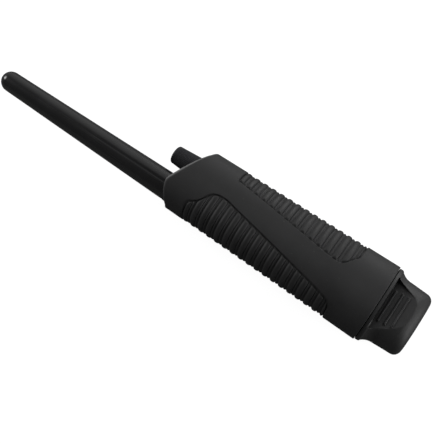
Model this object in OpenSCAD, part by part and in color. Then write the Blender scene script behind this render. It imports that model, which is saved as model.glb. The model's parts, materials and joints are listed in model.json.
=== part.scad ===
// Handheld scanner wand: round probe, side control knob, ribbed rubber grip and pull-off battery cap.
// It lies on its broad face. +X points from the probe tip to the cap, +Y to the knob side, +Z up.
// The origin is the middle of the part's footprint on the surface it rests on. Millimetres.

/* [Overall] */
// Length from the probe tip to the end of the cap
overall_len = 356; // [352:1:362]
// Length of probe in front of the hood
probe_reach = 159.3; // [155:0.1:162]
// Length of the cap behind the sleeve
cap_len = 29.5; // [28:0.5:31]

/* [Grip] */
// Width of the grip at the hood
grip_w_front = 53.4; // [52:0.1:55]
// Width of the grip at the cap
grip_w_rear = 58.8; // [57:0.1:60]
// Thickness of the grip before the rest face is cut flat
grip_thick = 38.6; // [38:0.1:40]
// How far the flat rest face cuts into the rounded section
rest_cut = 0.3; // [0.2:0.05:0.4]
// Wall of the rubber sleeve
sleeve_wall = 2.0; // [1.8:0.1:2.2]
// Wall of the hard housing inside the sleeve
shell_wall = 2.0; // [1.8:0.1:2.2]
// Gap between the end of the sleeve and the cap's flange
seam_gap = 0.4; // [0.3:0.1:0.6]
// Slant of the hood's front edge, in degrees
hood_slant = 22.5; // [20:0.5:25]
// Depth of the hood in front of the nose plate
hood_depth = 20.7; // [20:0.1:21]

/* [Ribs] */
// Spacing of the grip ribs
rib_pitch = 6.9; // [6.5:0.1:7.5]
// Width of the groove between two ribs
groove_w = 3.4; // [3:0.1:4]
// Depth of the grooves
groove_depth = 0.9; // [0.7:0.1:1.1]

/* [Probe] */
// Distance of the probe axis from the grip axis, away from the knob
probe_off = 13.5; // [13.2:0.1:13.6]
// Radius of the rounded tip
tip_r = 8.0; // [7.8:0.1:8.2]
// Radius at the hood
root_r = 10.15; // [10:0.05:10.2]
// Wall of the probe tube
tube_wall = 1.6; // [1.4:0.1:1.8]

/* [Knob] */
// Distance of the knob axis from the grip axis
knob_off = 10.5; // [10.3:0.1:10.8]
// Length of knob that stands out in front of the hood's foremost point
knob_reach = 11.8; // [11.5:0.1:14]
// Radius of the knob's free end
knob_r_front = 6.9; // [6.7:0.1:7]
// Radius of the knob's rear end
knob_r_rear = 8.2; // [8:0.1:8.3]

/* [Battery] */
// Length of the battery case without its terminals
battery_len = 45.6; // [45:0.1:46]
// Width of the battery
battery_w = 26.5; // [26:0.1:26.7]
// Thickness of the battery
battery_t = 17.5; // [17:0.1:17.7]

/* [Hidden] */

$fn = 64;
SEG = 40;             // sides of the grip's section
POWER = 2.4;          // roundness of the section: 2 is an ellipse, higher is squarer
FIT = 0.05;           // radial clearance of running and seated fits
AIR = 0.3;            // clearance between pieces that move apart
SKIN = 0.1;           // clearance between the sleeve and the housing

mid_z = grip_thick / 2 - rest_cut;
tip_x = -overall_len / 2;
hood_x = tip_x + probe_reach;
hood_y = -14.6;
end_x = overall_len / 2;
seam_x = end_x - cap_len;
sleeve_end = seam_x - seam_gap;
nose_x = hood_x + hood_depth;
nose_t = 3;
shell_x = nose_x + nose_t;
plug_len = 10;
plug_x = seam_x - plug_len;

// Width of the grip at any distance along it
function grip_w(x) = grip_w_front
    + (grip_w_rear - grip_w_front) * (x - hood_x) / (sleeve_end - hood_x);

// Rounded section: a superellipse of width w and thickness t
function section(w, t) = [for (i = [0:SEG - 1])
    let (a = 360 * i / SEG, c = cos(a), s = sin(a))
    [w / 2 * sign(c) * pow(abs(c), 2 / POWER), t / 2 * sign(s) * pow(abs(s), 2 / POWER)]];

// Straight bar of the rounded section along X
module bar(x0, x1, w, t)
    translate([x0, 0, mid_z]) rotate([90, 0, 90])
        linear_extrude(height = x1 - x0) polygon(section(w, t));

// Bar that follows the grip's taper, smaller than the grip by inset all round
module grip_bar(x0, x1, inset)
    translate([x0, 0, mid_z]) rotate([90, 0, 90])
        linear_extrude(height = x1 - x0, slices = 1, segments = 1,
            scale = [(grip_w(x1) - 2 * inset) / (grip_w(x0) - 2 * inset), 1])
            polygon(section(grip_w(x0) - 2 * inset, grip_thick - 2 * inset));

// Cylinder and tube along X, on an axis at the centre plane's height
module rod(x0, x1, y, r, dz = 0)
    translate([x0, y, mid_z + dz]) rotate([0, 90, 0]) cylinder(r = r, h = x1 - x0);

module tube(x0, x1, y, r_out, r_in, dz = 0)
    difference() {
        rod(x0, x1, y, r_out, dz);
        rod(x0 - 1, x1 + 1, y, r_in, dz);
    }

// Solid of revolution about an X axis; the profile's points are [radius, x]
module turned(y, profile)
    translate([0, y, mid_z]) rotate([0, 90, 0]) rotate_extrude() polygon(profile);

module block(x0, y0, z0, size)
    translate([x0, y0, z0]) cube(size);

// ---------------------------------------------------------------- grip and housing
cheek = [8.2, 13.1];  // run of the hood's corner past its foremost point, along X and Y
far = 40;

// Outline of the sleeve seen from above, with its slanted hood
module sleeve_plan()
    translate([0, 0, -1]) linear_extrude(height = grip_thick + 2)
        polygon([
            [hood_x, hood_y],
            [hood_x + cheek.x * (far + hood_y) / cheek.y, -far],
            [sleeve_end, -far],
            [sleeve_end, far],
            [hood_x + (far - hood_y) * tan(hood_slant), far]]);

panel_front = [3, 23.5];      // where the ribbed panels start, on the probe and knob sides
panel_end = 123;

// Ribbed panel on the probe side: deep near the hood, tapering towards the cap
module panel_probe_side()
    polygon([[panel_front[0], -far], [panel_front[0], -21], [18, -4.2], [118, -22],
        [panel_end, -far]]);

// Ribbed panel on the knob side: narrow near the hood, deepening towards the cap
module panel_knob_side()
    polygon([[panel_front[1], far], [panel_front[1], 12.4], [111, 1.4], [119, 9],
        [panel_end, far]]);

module grooves(x0)
    for (x = [x0 + (rib_pitch - groove_w) / 2:rib_pitch:panel_end - groove_w])
        block(x, -far, -1, [groove_w, 2 * far, grip_thick + 2]);

module panel_grooves()
    intersection() {
        difference() {
            grip_bar(hood_x, sleeve_end, -1);
            grip_bar(hood_x - 1, sleeve_end + 1, groove_depth);
        }
        union() {
            intersection() {
                grooves(panel_front[0]);
                translate([0, 0, -1]) linear_extrude(height = grip_thick + 2) panel_probe_side();
            }
            intersection() {
                grooves(panel_front[1]);
                translate([0, 0, -1]) linear_extrude(height = grip_thick + 2) panel_knob_side();
            }
        }
    }

// Sound slots through the underside, below the speaker
speaker_x = nose_x + 56;
slot_pitch = 4;
slot_w = 1.6;
slot_len = 14;
module sound_slots()
    for (i = [-2:2])
        block(speaker_x + i * slot_pitch - slot_w / 2, -slot_len / 2, -1,
            [slot_w, slot_len, 7]);

module grip_sleeve()
    color([0.14, 0.14, 0.14]) difference() {
        intersection() {
            grip_bar(hood_x, sleeve_end, 0);
            sleeve_plan();
            block(hood_x - 1, -far, 0, [sleeve_end - hood_x + 2, 2 * far, grip_thick]);
        }
        grip_bar(hood_x - 1, sleeve_end + 1, sleeve_wall);
        panel_grooves();
        sound_slots();
    }

housing_in = sleeve_wall + SKIN;             // inset of the housing's outside
cavity_in = housing_in + shell_wall;         // inset of the housing's inside
boss_r = 2.8;
boss_at = [[nose_x + 31, 19], [nose_x + 31, -19], [plug_x - 8, 20.5], [plug_x - 8, -20.5]];
screw_r = 1.2;
screw_len = 17;
head_r = 2.4;
head_t = 2;
head_z = 11;                  // height of the top of a screw's head

// Board, posts and speaker seat share these places
board_x = nose_x + 36;
board_l = 42;
board_w = 30;
board_t = 1.6;
board_z = 16;
post_at = [for (x = [board_x + 3, board_x + board_l - 3], y = [-12, 12]) [x, y]];
post_r = 2.5;
post_bore = 1.0;
speaker_r = 14;
rim_w = 3;                    // speaker's rim outside its opening
seat_z = 6;

// Battery tray
battery_rear = plug_x - 1.6;
battery_front = battery_rear - battery_len;
terminal_len = 2.9;
snap_t = 1.2;
snap_x = battery_front - terminal_len - snap_t - AIR;
wall_t = 1.6;
tray_front = snap_x - 2;
tray_z = mid_z - battery_t / 2 - AIR - wall_t;

module shell_ring()
    difference() {
        grip_bar(shell_x, sleeve_end, housing_in);
        grip_bar(shell_x - 1, sleeve_end + 1, cavity_in);
    }

module bosses(r)
    for (p = boss_at) translate([p.x, p.y, -1]) cylinder(r = r, h = grip_thick + 2);

module upper_half()
    block(shell_x - 1, -far, mid_z, [sleeve_end - shell_x + 2, 2 * far, grip_thick]);

module lower_half()
    block(shell_x - 1, -far, mid_z - grip_thick, [sleeve_end - shell_x + 2, 2 * far, grip_thick]);

module housing_upper()
    color([0.10, 0.10, 0.11]) difference() {
        intersection() {
            union() {
                shell_ring();
                intersection() {
                    bosses(boss_r);
                    grip_bar(shell_x, sleeve_end, housing_in);
                }
            }
            upper_half();
        }
        for (p = boss_at)
            translate([p.x, p.y, mid_z - 1]) cylinder(r = screw_r + FIT, h = 9);
    }

module housing_lower()
    color([0.10, 0.10, 0.11]) difference() {
        intersection() {
            union() {
                shell_ring();
                intersection() {
                    union() {
                        bosses(boss_r);
                        for (p = post_at)
                            translate([p.x, p.y, 0]) cylinder(r = post_r, h = board_z);
                        translate([speaker_x, 0, 0]) cylinder(r = speaker_r + 0.6, h = seat_z);
                        for (x = [battery_front + 8, battery_rear - 14])
                            block(x, -12, 0, [2, 24, tray_z]);
                    }
                    grip_bar(shell_x, sleeve_end, housing_in);
                }
            }
            lower_half();
        }
        for (p = boss_at) {
            translate([p.x, p.y, -1]) cylinder(r = screw_r + 0.3, h = mid_z + 2);
            translate([p.x, p.y, -1]) cylinder(r = head_r + 0.2, h = head_z + 1);
        }
        for (p = post_at)
            translate([p.x, p.y, board_z - 6]) cylinder(r = post_bore, h = 7);
        translate([speaker_x, 0, housing_in + shell_wall]) cylinder(r = speaker_r - rim_w, h = 10);
        sound_slots();
    }

// Cross recess of a screw, wide from tip to tip, cut 1.8 deep from z
module cross_slot(wide, slot, z)
    for (a = [0, 90])
        rotate(a) translate([-wide / 2, -slot / 2, z]) cube([wide, slot, 1.8]);

module housing_screws()
    color([0.72, 0.73, 0.75]) for (p = boss_at) translate([p.x, p.y, head_z - head_t]) difference() {
        union() {
            cylinder(r = head_r, h = head_t);
            cylinder(r = screw_r, h = screw_len);
        }
        cross_slot(3, 0.6, -1);
    }

stub_r = 7.2;
bushing_r = 3.55;
module nose_plate()
    color([0.09, 0.09, 0.10]) difference() {
        bar(nose_x, shell_x, grip_w(nose_x) - 2 * housing_in, grip_thick - 2 * housing_in);
        rod(nose_x - 1, shell_x + 1, -probe_off, stub_r + FIT);
        rod(nose_x - 1, shell_x + 1, knob_off, bushing_r + FIT);
    }

// ---------------------------------------------------------------- probe
stub_end = nose_x + 22;
taper_end = hood_x - 5;
TIP_STEPS = 10;

// Points of a round tip of radius r centred at x, from its foremost point to its widest
function tip_arc(r, x) = [for (i = [0:TIP_STEPS])
    let (a = 90 * i / TIP_STEPS) [r * sin(a), x - r * cos(a)]];

module probe_tube()
    color([0.07, 0.07, 0.075]) turned(-probe_off, concat(
        tip_arc(tip_r, tip_x + tip_r),
        [[root_r, taper_end], [root_r, nose_x], [stub_r, nose_x], [stub_r, stub_end],
            [stub_r - tube_wall, stub_end], [stub_r - tube_wall, nose_x - 4],
            [root_r - tube_wall, nose_x - 6], [root_r - tube_wall, taper_end]],
        [for (i = [TIP_STEPS:-1:0]) tip_arc(tip_r - tube_wall, tip_x + tip_r)[i]]));

collar_r = 11;
collar_front = hood_x + 1.5;
module probe_collar()
    color([0.08, 0.08, 0.085]) turned(-probe_off, [
        [root_r + FIT, collar_front], [root_r + 0.25, collar_front],
        [collar_r, collar_front + 4], [collar_r, nose_x], [root_r + FIT, nose_x]]);

seal_d = 1.4;
module probe_seal()
    color([0.05, 0.05, 0.05]) translate([shell_x + seal_d / 2, -probe_off, mid_z])
        rotate([0, 90, 0]) rotate_extrude() translate([stub_r + 0.02 + seal_d / 2, 0]) circle(d = seal_d);

nut_r = 9.2;
module probe_nut()
    color([0.75, 0.62, 0.35]) difference() {
        tube(shell_x + seal_d, shell_x + seal_d + 5, -probe_off, nut_r, stub_r + FIT);
        for (a = [0, 90]) translate([shell_x + seal_d + 3.5, -probe_off, mid_z]) rotate([a, 0, 0])
            block(0, -nut_r - 1, -1, [3, 2 * nut_r + 2, 2]);
    }

rod_r = 4;
rod_x0 = tip_x + 10;
rod_len = 100;
rod_x1 = rod_x0 + rod_len;
module ferrite_rod() color([0.18, 0.18, 0.19]) rod(rod_x0, rod_x1, -probe_off, rod_r);

former_r = 4.9;
module coil_former()
    color([0.85, 0.84, 0.78]) tube(rod_x0 + 6, rod_x1 - 6, -probe_off, former_r, rod_r + FIT);

coil_r = 6;
transmit_at = [9, 49];        // where each winding lies along the rod
receive_at = [57, 87];
module winding(at)
    color([0.72, 0.38, 0.16])
        tube(rod_x0 + at[0], rod_x0 + at[1], -probe_off, coil_r, former_r + FIT);

module transmit_coil() winding(transmit_at);

module receive_coil() winding(receive_at);

module coil_spacers()
    color([0.30, 0.30, 0.32]) for (x = [rod_x0 + 0.5, rod_x1 - 5.5])
        tube(x, x + 5, -probe_off, tip_r - tube_wall - 0.2, rod_r + FIT);

lead_r = 0.6;
module coil_leads()
    color([0.60, 0.10, 0.10]) for (dz = [1.2, 3])
        rod(rod_x1, board_x + header_at, -probe_off, lead_r, dz);

// ---------------------------------------------------------------- knob and its control
knob_front = hood_x - knob_reach;
knob_rear = nose_x - 0.6;
shaft_r = 3;
shaft_front = knob_front + 10;
flat_h = 1.5;                 // height of the shaft's flat above its axis
flat_len = 11;
edge_r = 1.6;                 // rounding of the knob's free end
EDGE_STEPS = 5;
skirt_r = 6.4;                // hollow at the knob's rear, round the shaft's nut
skirt_depth = 9;

module knob_outside()
    turned(knob_off, concat(
        [[0, knob_front]],
        [for (i = [0:EDGE_STEPS]) let (a = 90 * i / EDGE_STEPS)
            [knob_r_front - edge_r + edge_r * sin(a), knob_front + edge_r - edge_r * cos(a)]],
        [[knob_r_rear, hood_x + 8], [knob_r_rear, knob_rear], [0, knob_rear]]));

module control_knob()
    color([0.10, 0.11, 0.12]) difference() {
        knob_outside();
        difference() {
            rod(shaft_front - 0.5, knob_rear + 1, knob_off, shaft_r + FIT);
            block(shaft_front - 1, knob_off - 4, mid_z + flat_h + 0.5, [flat_len + 1, 8, 4]);
        }
        rod(nose_x - skirt_depth, knob_rear + 1, knob_off, skirt_r);
    }

module knob_clip()
    color([0.75, 0.76, 0.78])
        block(shaft_front + 1, knob_off - 1.6, mid_z + flat_h + 0.05, [8, 3.2, 0.4]);

wiper_x = shell_x + 5;
module pot_shaft()
    color([0.78, 0.78, 0.80]) difference() {
        union() {
            rod(shaft_front, wiper_x + 1, knob_off, shaft_r);
            rod(wiper_x, wiper_x + 1.5, knob_off, 5.5);
        }
        block(shaft_front - 1, knob_off - 4, mid_z + flat_h, [flat_len + 1, 8, 4]);
    }

pot_r = 8.2;
pot_len = 10;                 // front case, with the switch case behind it
switch_r = 6.8;
switch_len = 6;
module pot_body()
    color([0.70, 0.71, 0.72]) difference() {
        union() {
            rod(nose_x - 5, shell_x + 1, knob_off, bushing_r);
            rod(shell_x, shell_x + pot_len, knob_off, pot_r);
            rod(shell_x + pot_len - 1, shell_x + pot_len + switch_len, knob_off, switch_r);
        }
        rod(nose_x - 6, wiper_x, knob_off, shaft_r + FIT);
        rod(wiper_x - 1, wiper_x + 3, knob_off, 6);
    }

washer_t = 0.4;
nut_w = 5.6;                  // half the nut's width across its corners
nut_t = 2;
module pot_washer()
    color([0.75, 0.75, 0.77])
        tube(nose_x - washer_t, nose_x, knob_off, nut_w + 0.2, bushing_r + FIT);

module pot_nut()
    color([0.80, 0.78, 0.70]) difference() {
        translate([nose_x - washer_t - nut_t, knob_off, mid_z]) rotate([0, 90, 0])
            cylinder(r = nut_w, h = nut_t, $fn = 6);
        rod(nose_x - 4, nose_x + 1, knob_off, bushing_r + FIT);
    }

module pot_terminals()
    color([0.80, 0.78, 0.70]) {
        for (dy = [-5, 0, 5]) let (root = sqrt(pow(pot_r, 2) - pow(max(abs(dy) - 0.7, 0), 2)))
            block(shell_x + 2, knob_off + dy - 0.7, mid_z - root - 4, [0.5, 1.4, 4]);
        for (dy = [-3, 3])
            block(shell_x + pot_len + switch_len, knob_off + dy - 0.7, mid_z - 1, [4, 1.4, 0.5]);
    }

// ---------------------------------------------------------------- speaker
frame_z = seat_z + 0.6;
magnet_z = frame_z + 3;
magnet_r = 7;
magnet_t = 4;

module at_speaker(z) translate([speaker_x, 0, z]) children();

module speaker_gasket()
    color([0.20, 0.20, 0.21]) at_speaker(seat_z) difference() {
        cylinder(r = speaker_r, h = 0.6);
        translate([0, 0, -1]) cylinder(r = speaker_r - 2.5, h = 3);
    }

module speaker_frame()
    color([0.66, 0.67, 0.68]) at_speaker(frame_z) difference() {
        union() {
            cylinder(r = speaker_r, h = 0.8);
            cylinder(r = speaker_r - 2, h = 3);
        }
        translate([0, 0, -1]) cylinder(r = speaker_r - rim_w, h = 3);
    }

module speaker_cone()
    color([0.12, 0.12, 0.12]) at_speaker(frame_z) rotate_extrude()
        polygon([[0, 1.0], [4, 1.0], [10.9, 0], [10.9, 0.4], [4.2, 1.6], [0, 1.6]]);

module speaker_magnet()
    color([0.35, 0.35, 0.37]) at_speaker(magnet_z) cylinder(r = magnet_r, h = magnet_t);

// ---------------------------------------------------------------- circuit board
top_z = board_z + board_t;

module main_board()
    color([0.10, 0.32, 0.18]) difference() {
        block(board_x, -board_w / 2, board_z, [board_l, board_w, board_t]);
        for (p = post_at) translate([p.x, p.y, board_z - 1]) cylinder(r = 1.1, h = 4);
    }

module board_screws()
    color([0.72, 0.73, 0.75]) for (p = post_at) translate([p.x, p.y, 0]) difference() {
        union() {
            translate([0, 0, top_z]) cylinder(r = 1.9, h = 1.3);
            translate([0, 0, board_z - 5]) cylinder(r = post_bore - FIT, h = 6.7);
        }
        cross_slot(2.4, 0.5, top_z + 0.6);
    }

// Chip body with its row of legs on both long sides
module chip(x, y, len, wid, tall, legs)
    translate([x, y, top_z]) {
        translate([0, 0, 0.4]) cube([len, wid, tall]);
        for (i = [0:legs - 1], side = [0, 1])
            translate([(i + 0.5) * len / legs - 0.25, side * (wid + 1) - 1, 0]) cube([0.5, 1, 1.6]);
    }

module signal_chip() color([0.08, 0.08, 0.08]) chip(board_x + 12, -9, 18, 6.4, 3.2, 7);
module amplifier_chip() color([0.08, 0.08, 0.08]) chip(board_x + 24, 3, 9.4, 6.4, 3.2, 4);

module regulator()
    color([0.08, 0.08, 0.08]) translate([board_x + 36.5, 5, top_z]) {
        translate([0, 0, 2.5]) intersection() {
            cylinder(r = 2.4, h = 4.6);
            translate([-3, -1.6, -1]) cube([6, 5, 7]);
        }
        for (dx = [-1.3, 0, 1.3]) translate([dx - 0.25, -0.25, 0]) cube([0.5, 0.5, 2.5]);
    }

module capacitors()
    color([0.12, 0.14, 0.30]) for (p = [[9, 4], [16, 4], [37, -2]])
        translate([board_x + p.x, p.y, top_z]) cylinder(r = 2.8, h = 8);

module resistors()
    color([0.72, 0.60, 0.42]) for (i = [0:3])
        translate([board_x + 9 + 4 * i, 9, top_z + 1.1]) rotate([-90, 0, 0])
            cylinder(r = 1.0, h = 5);

module crystal()
    color([0.78, 0.78, 0.80]) block(board_x + 32, -9.5, top_z, [7, 3.6, 3.4]);

module trim_pots()
    color([0.15, 0.30, 0.60]) for (dy = [-1, 7]) difference() {
        block(board_x + 1, dy - 3.4, top_z, [5, 5, 5]);
        translate([board_x + 3.5, dy - 0.9, top_z + 4]) cylinder(r = 1.4, h = 2);
    }

header_at = 5.5;
module coil_header()
    color([0.90, 0.88, 0.80]) block(board_x + header_at, -probe_off - 1, top_z, [6, 5, 6]);

// ---------------------------------------------------------------- battery and tray
snap_off = 6.35;                              // half the spacing of the two terminals
side_y = battery_w / 2 + AIR;

module battery_tray()
    color([0.11, 0.11, 0.12]) difference() {
        union() {
            block(tray_front, -side_y - wall_t, tray_z,
                [battery_rear - 4 - tray_front, 2 * (side_y + wall_t), wall_t]);
            for (y = [-side_y - wall_t, side_y])
                block(tray_front, y, tray_z, [battery_rear - 4 - tray_front, wall_t, 14]);
            block(tray_front, -side_y - wall_t, tray_z,
                [2, 2 * (side_y + wall_t), battery_t + 2 * wall_t]);
        }
        for (y = [-snap_off, snap_off]) rod(tray_front - 1, snap_x + 1, y, 1.1);
    }

module battery_snap()
    color([0.76, 0.72, 0.60]) {
        block(snap_x, -12.5, mid_z - 6, [snap_t, 25, 12]);
        rod(snap_x + snap_t - 0.2, battery_front - 0.4, -snap_off, 2.6);
        tube(snap_x + snap_t - 0.2, battery_front - 0.4, snap_off, 4.1, 3.0);
    }

module battery_leads()
    color([0.65, 0.08, 0.08]) for (y = [-snap_off, snap_off])
        rod(board_x + board_l - 2, snap_x, y, 0.7);

corner = 1.5;
module battery()
    color([0.22, 0.24, 0.27]) translate([battery_front, 0, mid_z]) rotate([90, 0, 90])
        linear_extrude(height = battery_len) offset(r = corner)
            square([battery_w - 2 * corner, battery_t - 2 * corner], center = true);

module battery_terminals()
    color([0.80, 0.80, 0.82]) {
        rod(battery_front - terminal_len, battery_front, snap_off, 2.8);
        tube(battery_front - terminal_len, battery_front, -snap_off, 4.3, 2.9);
    }

// ---------------------------------------------------------------- battery cap
flange_w = 57.2;
flange_t = 37.2;
flange_len = 3.5;             // the flange behind the seam
block_w = 48.8;
block_t = 33;
cavity_w = grip_w(plug_x) - 2 * cavity_in;
cavity_t = grip_thick - 2 * cavity_in;
plug_w = cavity_w - 2;
plug_t = cavity_t - 2;
pocket = [34, 17];            // width and height of the pocket for the foam
pocket_end = seam_x + 3.4;

module slice(x, w, t) bar(x, x + 0.01, w, t);

scoop_x = seam_x + 3;
scoop_slope = 18;
scoop_deep = 6;
rib_at = [2.6, 7.0, 11.5, 16.2];

// Finger scoop on a broad face: a sloping floor with cross ribs between converging sides
module scoop()
    intersection() {
        translate([scoop_x, 0, mid_z + block_t / 2 - scoop_deep]) rotate([0, -scoop_slope, 0])
            difference() {
                block(-2, -20, 0, [24, 40, 16]);
                for (x = rib_at) block(x, -12.5, -1, [1.2, 25, 2]);
            }
        translate([scoop_x, 0, 0]) linear_extrude(height = grip_thick + 4)
            polygon([[0, -17], [14, -11], [20, -9], [20, 9], [14, 11], [0, 17]]);
    }

module end_cap()
    color([0.13, 0.13, 0.13]) difference() {
        union() {
            bar(plug_x, seam_x + 1, plug_w, plug_t);
            bar(seam_x, seam_x + flange_len - 1, flange_w, flange_t);
            hull() {
                slice(seam_x + flange_len - 1.01, flange_w, flange_t);
                slice(seam_x + flange_len, flange_w - 2, flange_t - 2);
            }
            hull() {
                slice(seam_x + flange_len - 0.5, block_w + 4, block_t + 1.6);
                slice(seam_x + flange_len + 3, block_w + 1, block_t + 0.4);
            }
            hull() {
                slice(seam_x + flange_len + 2, block_w + 1, block_t + 0.4);
                slice(seam_x + flange_len + 6, block_w, block_t);
                slice(end_x - 6.5, block_w - 0.8, block_t - 0.6);
                slice(end_x - 3, block_w - 4, block_t - 4);
                slice(end_x - 0.9, block_w - 9, block_t - 9);
                slice(end_x - 0.01, block_w - 15, block_t - 15);
            }
        }
        scoop();
        translate([0, 0, 2 * mid_z]) mirror([0, 0, 1]) scoop();
        block(plug_x - 1, -pocket.x / 2, mid_z - pocket.y / 2,
            [pocket_end - plug_x + 1, pocket.x, pocket.y]);
    }

gasket_w = 2.6;
module cap_gasket()
    color([0.30, 0.08, 0.06]) difference() {
        bar(plug_x + 4, plug_x + 4 + gasket_w, cavity_w - 2 * AIR, cavity_t - 2 * AIR);
        bar(plug_x + 3, plug_x + 5 + gasket_w, plug_w + 0.04, plug_t + 0.04);
    }

module cap_foam()
    color([0.25, 0.25, 0.27]) block(battery_rear + AIR, -pocket.x / 2 + 0.05,
        mid_z - pocket.y / 2 + 0.05,
        [pocket_end - battery_rear - AIR, pocket.x - 0.1, pocket.y - 0.1]);

grip_sleeve();
housing_upper();
housing_lower();
housing_screws();
nose_plate();
probe_tube();
probe_collar();
probe_seal();
probe_nut();
ferrite_rod();
coil_former();
transmit_coil();
receive_coil();
coil_spacers();
coil_leads();
control_knob();
knob_clip();
pot_shaft();
pot_body();
pot_washer();
pot_nut();
pot_terminals();
speaker_gasket();
speaker_frame();
speaker_cone();
speaker_magnet();
main_board();
board_screws();
signal_chip();
amplifier_chip();
regulator();
capacitors();
resistors();
crystal();
trim_pots();
coil_header();
battery_tray();
battery_snap();
battery_leads();
battery();
battery_terminals();
end_cap();
cap_gasket();
cap_foam();
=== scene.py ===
import json
import math

import bpy
import numpy as np
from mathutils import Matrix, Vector

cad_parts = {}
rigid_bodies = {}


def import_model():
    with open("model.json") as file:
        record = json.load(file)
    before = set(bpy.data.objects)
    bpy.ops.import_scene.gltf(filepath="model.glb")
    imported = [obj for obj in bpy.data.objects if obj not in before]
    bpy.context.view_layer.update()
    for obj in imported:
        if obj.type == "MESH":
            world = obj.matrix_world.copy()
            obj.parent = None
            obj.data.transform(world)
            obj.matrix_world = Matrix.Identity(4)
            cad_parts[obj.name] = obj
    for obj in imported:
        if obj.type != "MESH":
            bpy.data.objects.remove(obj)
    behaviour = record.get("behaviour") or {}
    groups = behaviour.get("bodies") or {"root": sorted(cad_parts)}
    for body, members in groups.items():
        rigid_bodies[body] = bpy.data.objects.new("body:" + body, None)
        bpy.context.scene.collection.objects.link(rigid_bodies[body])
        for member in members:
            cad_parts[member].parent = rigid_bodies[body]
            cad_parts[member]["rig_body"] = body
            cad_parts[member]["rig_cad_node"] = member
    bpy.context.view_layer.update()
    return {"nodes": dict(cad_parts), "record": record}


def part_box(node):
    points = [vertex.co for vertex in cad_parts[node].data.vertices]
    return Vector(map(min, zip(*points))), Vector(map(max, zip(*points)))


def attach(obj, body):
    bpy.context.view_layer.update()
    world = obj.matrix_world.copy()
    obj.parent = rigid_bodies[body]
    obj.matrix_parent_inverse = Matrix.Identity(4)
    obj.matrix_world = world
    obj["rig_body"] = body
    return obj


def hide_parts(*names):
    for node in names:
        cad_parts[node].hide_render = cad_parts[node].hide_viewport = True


bl_info = {
    "name": "Scanner wand",
    "version": (1, 0, 0),
    "blender": (4, 5, 0),
    "location": "3D View > Sidebar > Wand",
    "description": "Models the looks of a handheld scanner wand round its fixed mechanical frame",
    "category": "Object",
}

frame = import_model()

MM = 0.001
TAU = 2 * math.pi
FINE_TURNS = 8000                   # steps in which the way round a section is measured

# ------------------------------------------------------------------ places that the frame gives
sleeve_low, sleeve_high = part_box("grip_sleeve")
probe_low, probe_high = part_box("probe_tube")
knob_low, knob_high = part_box("control_knob")
cap_low, cap_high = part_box("end_cap")
nose_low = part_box("nose_plate")[0]
foam_low, foam_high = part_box("cap_foam")
gasket_low, gasket_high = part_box("cap_gasket")

MID_Z = (probe_low.z + probe_high.z) / 2
PROBE_Y = (probe_low.y + probe_high.y) / 2
KNOB_Y = (knob_low.y + knob_high.y) / 2
HOOD_X = sleeve_low.x
SLEEVE_END = sleeve_high.x
GRIP_HALF_T = sleeve_high.z - MID_Z
GRIP_HALF_W = sleeve_high.y
SEAM_X = SLEEVE_END + 0.4 * MM      # front of the cap's flange
END_X = cap_high.x
REST_Z = 0.0
SQUARENESS = 2.4                    # power of the superellipse that the grip's sections follow
SLOT_OF = {row["node"]: row["material_slot"] for row in frame["record"]["subparts"]}
BODY_OF = {node: body for body, nodes in frame["record"]["behaviour"]["bodies"].items()
           for node in nodes}


# ------------------------------------------------------------------ sizes and colours to change
class SleeveSettings(bpy.types.PropertyGroup):
    front_width: bpy.props.FloatProperty(
        name="Front width", description="Width of the grip at the hood",
        default=53.4 * MM, unit="LENGTH")
    wall: bpy.props.FloatProperty(
        name="Wall", description="Thickness of the rubber", default=2.0 * MM, unit="LENGTH")
    slant: bpy.props.FloatProperty(
        name="Hood slant", description="Angle of the hood's front edge",
        default=math.radians(22.5), unit="ROTATION")
    lip: bpy.props.FloatProperty(
        name="Lip", description="Rounding of the hood's front edge",
        default=1.7 * MM, unit="LENGTH")
    pitch: bpy.props.FloatProperty(
        name="Rib pitch", description="Spacing of the grip ribs", default=6.9 * MM, unit="LENGTH")
    groove: bpy.props.FloatProperty(
        name="Groove depth", description="Depth of the grooves below the smooth band",
        default=1.15 * MM, unit="LENGTH")
    recess: bpy.props.FloatProperty(
        name="Rib recess", description="How far the ribs' crests lie below the smooth band",
        default=0.1 * MM, unit="LENGTH")


class ProbeSettings(bpy.types.PropertyGroup):
    tip_radius: bpy.props.FloatProperty(
        name="Tip radius", description="Radius of the rounded tip", default=8.0 * MM,
        unit="LENGTH")
    root_radius: bpy.props.FloatProperty(
        name="Root radius", description="Radius at the hood", default=10.15 * MM, unit="LENGTH")
    groove: bpy.props.FloatProperty(
        name="Groove", description="Depth of the groove along the tube", default=0.42 * MM,
        unit="LENGTH")


class KnobSettings(bpy.types.PropertyGroup):
    flutes: bpy.props.IntProperty(
        name="Flutes", description="Number of fine ridges round the knob", default=40)
    flute_depth: bpy.props.FloatProperty(
        name="Flute depth", description="Depth between two ridges", default=0.28 * MM,
        unit="LENGTH")


class CapSettings(bpy.types.PropertyGroup):
    scoop_depth: bpy.props.FloatProperty(
        name="Scoop depth", description="Depth of the finger scoop at the flange",
        default=5.6 * MM, unit="LENGTH")
    rib_height: bpy.props.FloatProperty(
        name="Rib height", description="Height of the ribs in the scoop", default=1.1 * MM,
        unit="LENGTH")


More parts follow.
